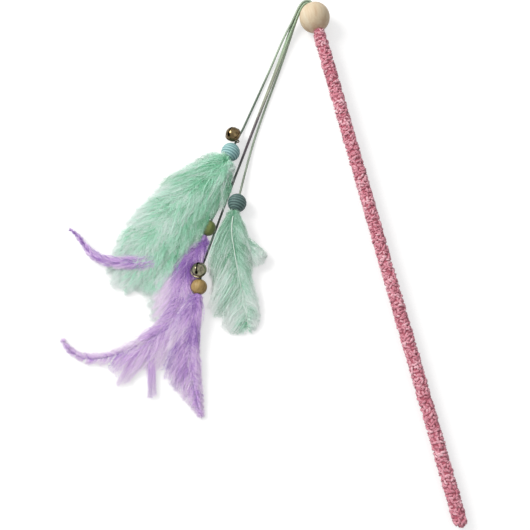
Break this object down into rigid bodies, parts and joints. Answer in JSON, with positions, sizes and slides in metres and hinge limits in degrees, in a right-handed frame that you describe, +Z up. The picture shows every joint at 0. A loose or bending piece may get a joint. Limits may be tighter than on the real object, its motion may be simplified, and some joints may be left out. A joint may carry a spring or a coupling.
{
  "type": "cat teaser wand",
  "caption": "Plush-covered stick with a wooden ball tip; cords out of the ball end in ribbed and plain beads, jingle bells and soft dyed feathers for a cat to chase.",
  "frame": {"origin": "middle of the footprint of the wand, beads, bells and feathers, on the table that it lies on", "axes": "+Z up from the table; +Y along the wand from its butt to its ball tip; +X to the right of the wand, away from the lure"},
  "size_m": [0.2154, 0.3461, 0.02],
  "materials": {
    "dowel_wood": "raw birch dowel",
    "pink_plush": "looped plush yarn, mottled",
    "ball_wood": "sanded, unvarnished",
    "mint_cord": "waxed, slight sheen",
    "plum_cord": "waxed, slight sheen",
    "binding_thread": "wound thread",
    "pale_blue_bead": "ribbed, satin",
    "teal_bead": "ribbed, satin",
    "mustard_bead": "stained, lacquered",
    "mint_feather": "downy",
    "lilac_feather": "downy",
    "bell_brass": "polished",
    "pellet_steel": "plain"
  },
  "bodies": {
    "wand": {"stick_core": "dowel_wood", "plush_sleeve": "pink_plush", "tip_ball": "ball_wood", "cord_neck_a": "mint_cord", "cord_neck_b": "mint_cord", "cord_neck_c": "plum_cord", "cord_neck_d": "plum_cord"},
    "lure": {"cord_a": "mint_cord", "cord_b": "mint_cord", "cord_c": "plum_cord", "cord_d": "plum_cord"},
    "pendant_a": {"cord_tail_a": "mint_cord", "binding_a": "binding_thread", "feather_a1": "mint_feather", "feather_a2": "mint_feather", "feather_a3": "mint_feather"},
    "bead_a": {"bead_a": "pale_blue_bead"},
    "pendant_b": {"cord_tail_b": "mint_cord", "binding_b": "binding_thread", "feather_b1": "mint_feather", "feather_b2": "mint_feather"},
    "bead_b": {"bead_b": "teal_bead"},
    "pendant_c": {"cord_tail_c": "plum_cord", "binding_c": "binding_thread", "feather_c1": "lilac_feather", "feather_c2": "lilac_feather"},
    "bead_c": {"bead_c": "mustard_bead"},
    "pendant_d": {"cord_tail_d": "plum_cord", "binding_d": "binding_thread", "feather_d1": "lilac_feather"},
    "bead_d": {"bead_d": "mustard_bead"},
    "bell_a": {"bell_cap_a": "bell_brass", "bell_cup_a": "bell_brass"},
    "bell_pellet_a": {"bell_pellet_a": "pellet_steel"},
    "bell_d": {"bell_cap_d": "bell_brass", "bell_cup_d": "bell_brass"},
    "bell_pellet_d": {"bell_pellet_d": "pellet_steel"}
  },
  "joints": [
    {"name": "lure_swing", "type": "hinge", "parent": "wand", "child": "lure", "pos_m": [0.09767, 0.17145, 0.01017], "axis": [0, 0, 1], "range_deg": [-200, 4], "deforming": ["cord_neck_a", "cord_neck_b", "cord_neck_c", "cord_neck_d"]},
    {"name": "pendant_a_swing", "type": "hinge", "parent": "lure", "child": "pendant_a", "pos_m": [0.03367, 0.10085, 0.0008], "axis": [0, 0, 1], "range_deg": [-50, 0]},
    {"name": "pendant_b_swing", "type": "hinge", "parent": "lure", "child": "pendant_b", "pos_m": [0.02107, 0.05775, 0.004], "axis": [0, 0, 1], "range_deg": [0, 35]},
    {"name": "pendant_c_swing", "type": "hinge", "parent": "lure", "child": "pendant_c", "pos_m": [-0.00013, 0.04525, 0.005], "axis": [0, 0, 1], "range_deg": [-12, 0]},
    {"name": "pendant_d_swing", "type": "hinge", "parent": "lure", "child": "pendant_d", "pos_m": [-0.01233, 0.01935, 0.0008], "axis": [0, 0, 1], "range_deg": [0, 15]},
    {"name": "bead_a_spin", "type": "hinge", "parent": "pendant_a", "child": "bead_a", "pos_m": [0.03367, 0.10085, 0.0008], "axis": [-0.5887, -0.7666, 0.2564], "continuous": true},
    {"name": "bead_b_spin", "type": "hinge", "parent": "pendant_b", "child": "bead_b", "pos_m": [0.02107, 0.05775, 0.004], "axis": [-0.4434, -0.8565, 0.2642], "continuous": true},
    {"name": "bead_c_spin", "type": "hinge", "parent": "pendant_c", "child": "bead_c", "pos_m": [-0.00013, 0.04525, 0.005], "axis": [-0.5938, -0.8046, 0], "continuous": true},
    {"name": "bead_d_spin", "type": "hinge", "parent": "pendant_d", "child": "bead_d", "pos_m": [-0.01233, 0.01935, 0.0008], "axis": [-0.3485, -0.9001, 0.2615], "continuous": true},
    {"name": "bell_a_swing", "type": "hinge", "parent": "pendant_a", "child": "bell_a", "pos_m": [0.02751, 0.09283, 0.00348], "axis": [-0.5887, -0.7666, 0.2564], "range_deg": [-55, 30]},
    {"name": "bell_pellet_a_rattle", "type": "slide", "parent": "bell_a", "child": "bell_pellet_a", "axis": [-0.2613, 0.4807, 0.8371], "range_m": [0, 0.0052]},
    {"name": "bell_d_swing", "type": "hinge", "parent": "pendant_d", "child": "bell_d", "pos_m": [-0.01492, 0.01266, 0.00275], "axis": [-0.3485, -0.9001, 0.2615], "range_deg": [-30, 6]},
    {"name": "bell_pellet_d_rattle", "type": "slide", "parent": "bell_d", "child": "bell_pellet_d", "axis": [-0.1177, 0.3189, 0.9405], "range_m": [0, 0.0052]}
  ]
}
